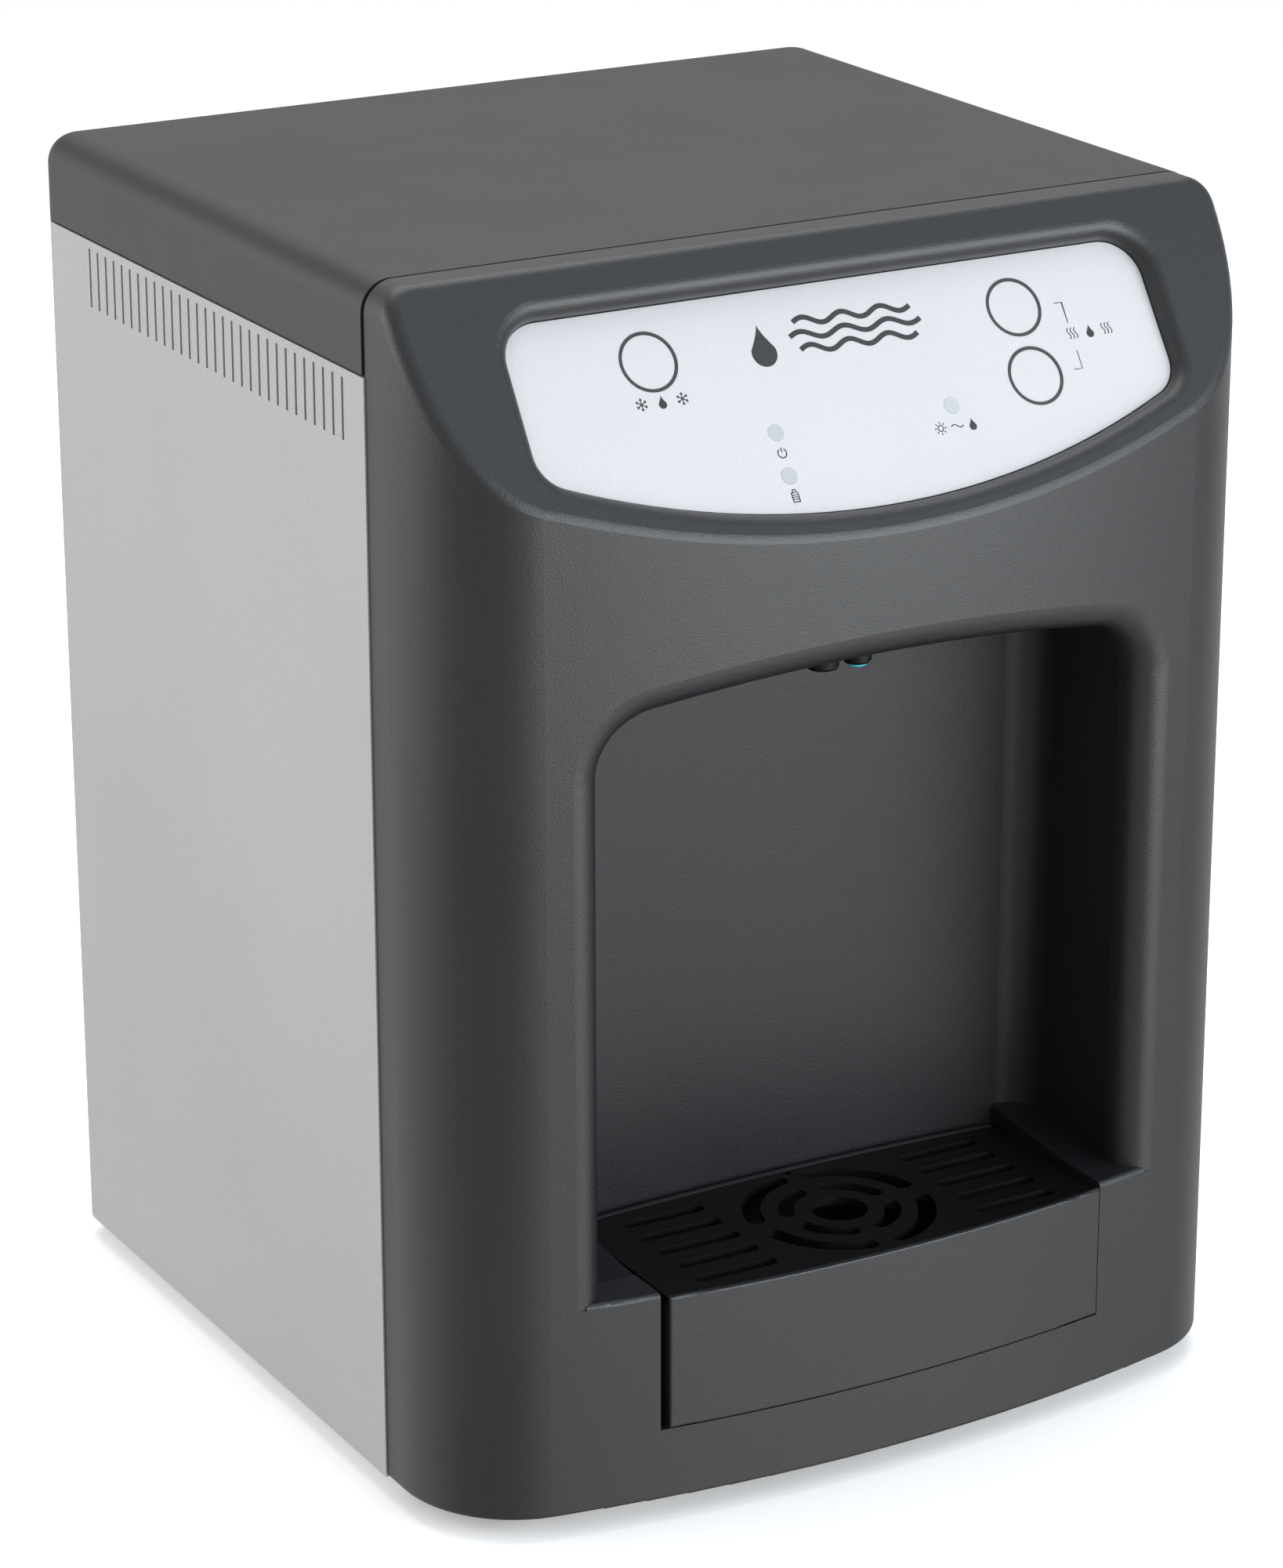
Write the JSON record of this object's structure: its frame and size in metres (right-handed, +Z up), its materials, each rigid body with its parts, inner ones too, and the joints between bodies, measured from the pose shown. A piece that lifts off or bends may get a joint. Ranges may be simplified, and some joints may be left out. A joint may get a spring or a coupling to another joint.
{
  "type": "countertop water dispenser",
  "caption": "Plumbed countertop cooler: bowed charcoal front with a leaning button panel, arched alcove, nozzles, pull-out drip tray, lift-off lid, painted steel sides.",
  "frame": {"origin": "middle of the overall box in plan, on the surface the feet stand on", "axes": "+X right seen from the front, -Y front, +Z up"},
  "size_m": [0.305, 0.31, 0.408],
  "materials": {
    "charcoal_plastic": "fine moulded texture",
    "silver_paint": "fine textured paint",
    "overlay_silver": "fine satin",
    "ring_dark": "satin",
    "black_plastic": "satin",
    "lens_grey": "diffusing",
    "teal_plastic": "gloss",
    "galvanised": "spangled",
    "stainless": "brushed",
    "fastener_steel": "zinc plated",
    "foot_rubber": "matt",
    "circuit_green": "solder mask",
    "foam_white": "beaded foam",
    "copper": "drawn tube",
    "compressor_black": "gloss paint",
    "filter_white": "moulded",
    "filter_blue": "moulded",
    "lamp_glass": "clear",
    "tube_white": "translucent tube",
    "rocker_red": "gloss",
    "rocker_green": "gloss"
  },
  "bodies": {
    "cabinet": {"alcove_liner": "charcoal_plastic", "base_pan": "galvanised", "button_rings": "ring_dark", "cold_nozzle": "black_plastic", "cold_tank": "stainless", "cold_valve": "filter_white", "compressor": "compressor_black", "compressor_grommets": "foot_rubber", "condenser_coil": "compressor_black", "condenser_straps": "galvanised", "condenser_wires": "compressor_black", "control_board": "circuit_green", "control_overlay": "overlay_silver", "drain_spout": "filter_white", "evaporator_coil": "copper", "filter_manifold": "filter_blue", "filter_stand": "galvanised", "foot_front_left": "foot_rubber", "foot_front_right": "foot_rubber", "foot_rear_left": "foot_rubber", "foot_rear_right": "foot_rubber", "front_shell": "charcoal_plastic", "heating_element": "stainless", "hot_nozzle": "black_plastic", "hot_tank": "stainless", "hot_tank_jacket": "foam_white", "hot_tank_stand": "galvanised", "hot_valve": "filter_white", "indicator_lenses": "lens_grey", "inlet_valve": "filter_white", "inner_frame": "galvanised", "insulation_cup": "foam_white", "insulation_lid": "foam_white", "nozzle_block": "filter_white", "nozzle_ring": "teal_plastic", "pan_fasteners": "fastener_steel", "power_inlet": "black_plastic", "power_supply": "galvanised", "rear_panel": "silver_paint", "rear_screws": "fastener_steel", "rocker_bezels": "black_plastic", "side_panel_left": "silver_paint", "side_panel_right": "silver_paint", "tact_switches": "black_plastic", "tray_bay": "black_plastic", "uv_housing": "stainless", "uv_lamp": "lamp_glass", "water_inlet": "filter_white", "water_tubes": "tube_white"},
    "top_cover": {"top_cover": "charcoal_plastic"},
    "drip_tray": {"drip_tray": "charcoal_plastic"},
    "drip_grille": {"drip_grille": "black_plastic"},
    "cold_water_button": {"cold_water_button": "overlay_silver"},
    "hot_release_button": {"hot_release_button": "overlay_silver"},
    "hot_water_button": {"hot_water_button": "overlay_silver"},
    "hot_rocker": {"hot_rocker": "rocker_red"},
    "cold_rocker": {"cold_rocker": "rocker_green"},
    "sediment_filter": {"sediment_filter": "filter_white"},
    "carbon_filter": {"carbon_filter": "filter_white"},
    "drain_plug": {"drain_plug": "foot_rubber"}
  },
  "joints": [
    {"name": "top_cover_lift", "type": "slide", "parent": "cabinet", "child": "top_cover", "axis": [0, 0, 1], "range_m": [0, 0.08]},
    {"name": "drip_tray_slide", "type": "slide", "parent": "cabinet", "child": "drip_tray", "axis": [0, -1, 0], "range_m": [0, 0.09]},
    {"name": "drip_grille_lift", "type": "slide", "parent": "drip_tray", "child": "drip_grille", "axis": [0, 0, 1], "range_m": [0, 0.03]},
    {"name": "cold_water_button_press", "type": "slide", "parent": "cabinet", "child": "cold_water_button", "axis": [0, 0.8221, -0.5693], "range_m": [0, 0.0011], "stiffness_N_per_m": 600},
    {"name": "hot_release_button_press", "type": "slide", "parent": "cabinet", "child": "hot_release_button", "axis": [0, 0.8221, -0.5693], "range_m": [0, 0.0011], "stiffness_N_per_m": 600},
    {"name": "hot_water_button_press", "type": "slide", "parent": "cabinet", "child": "hot_water_button", "axis": [0, 0.8221, -0.5693], "range_m": [0, 0.0011], "stiffness_N_per_m": 600},
    {"name": "hot_rocker_tilt", "type": "hinge", "parent": "cabinet", "child": "hot_rocker", "pos_m": [-0.054, 0.1459, 0.07], "axis": [1, 0, 0], "range_deg": [-24, 0]},
    {"name": "cold_rocker_tilt", "type": "hinge", "parent": "cabinet", "child": "cold_rocker", "pos_m": [-0.03, 0.1459, 0.07], "axis": [1, 0, 0], "range_deg": [-24, 0]},
    {"name": "sediment_filter_twist", "type": "hinge", "parent": "cabinet", "child": "sediment_filter", "pos_m": [-0.113, -0.033, 0.128], "axis": [0, 0, 1], "range_deg": [0, 90]},
    {"name": "carbon_filter_twist", "type": "hinge", "parent": "cabinet", "child": "carbon_filter", "pos_m": [-0.113, 0.036, 0.128], "axis": [0, 0, 1], "range_deg": [0, 90]},
    {"name": "drain_plug_pull", "type": "slide", "parent": "cabinet", "child": "drain_plug", "axis": [0, 1, 0], "range_m": [0, 0.02]}
  ]
}
